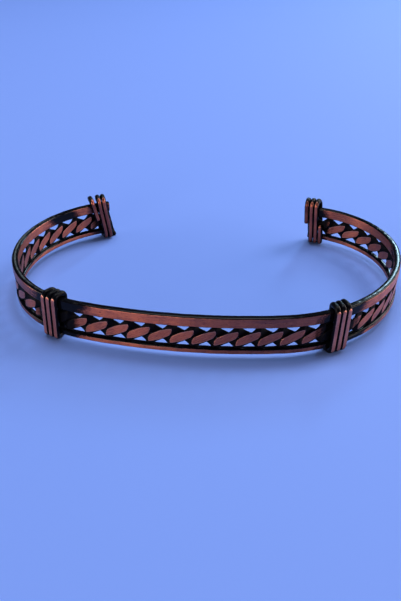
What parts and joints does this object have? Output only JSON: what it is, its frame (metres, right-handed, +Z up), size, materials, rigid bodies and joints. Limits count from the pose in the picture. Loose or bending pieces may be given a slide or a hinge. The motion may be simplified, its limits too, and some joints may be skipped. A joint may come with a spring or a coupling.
{
  "type": "cuff bracelet",
  "caption": "Open cuff bracelet of darkened copper: flat rails above and below a twist of wires, bound with coiled wire at the front and at both ends.",
  "frame": {"origin": "under the middle of the cuff's box, at the height of the surface it lies on", "axes": "+Z up, along the wearer's wrist; +X to the right across the cuff, its longest way; +Y towards the open gap, so the cuff's front faces -Y"},
  "size_m": [0.0652, 0.0418, 0.009],
  "materials": {
    "rail_copper": "brushed copper, darkened edges",
    "twist_copper": "polished faces, blackened recesses",
    "wrap_copper": "polished strips, blackened valleys"
  },
  "bodies": {
    "root": {"upper_rail": "rail_copper", "lower_rail": "rail_copper", "twist_strand_a": "twist_copper", "twist_strand_b": "twist_copper", "wrap_front_left": "wrap_copper", "wrap_front_right": "wrap_copper", "wrap_end_left": "wrap_copper", "wrap_end_right": "wrap_copper"}
  },
  "joints": []
}
